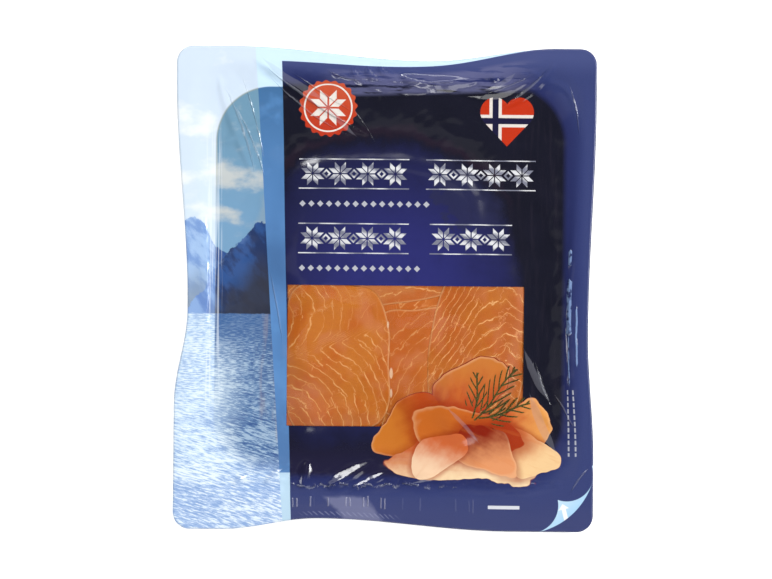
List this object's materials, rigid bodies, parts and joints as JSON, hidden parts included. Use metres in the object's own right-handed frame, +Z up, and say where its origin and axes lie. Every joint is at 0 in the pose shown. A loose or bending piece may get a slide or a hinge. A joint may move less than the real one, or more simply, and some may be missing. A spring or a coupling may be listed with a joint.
{
  "type": "pack of smoked salmon",
  "caption": "Flat vacuum pack lying down: printed upper film with a clear window, clear lower film, gold card and a fan of smoked salmon slices.",
  "frame": {"origin": "middle of the pack on the surface it lies on", "axes": "+Z up out of the printed face, +X across the pack, +Y towards the head of the print"},
  "size_m": [0.2, 0.23, 0.0136],
  "materials": {
    "printed_film": "glossy printed film, dark blue over most of its face, clear in the window",
    "clear_film": "clear glossy film",
    "gold_card": "smooth gold foil over card",
    "salmon": null
  },
  "bodies": {
    "root": {"upper_film": "printed_film", "lower_film": "clear_film", "card": "gold_card", "slices_below": "salmon", "slice_left": "salmon", "slice_head": "salmon", "slice_right": "salmon", "slice_foot": "salmon", "slice_middle": "salmon", "slice_flap": "salmon"}
  },
  "joints": []
}
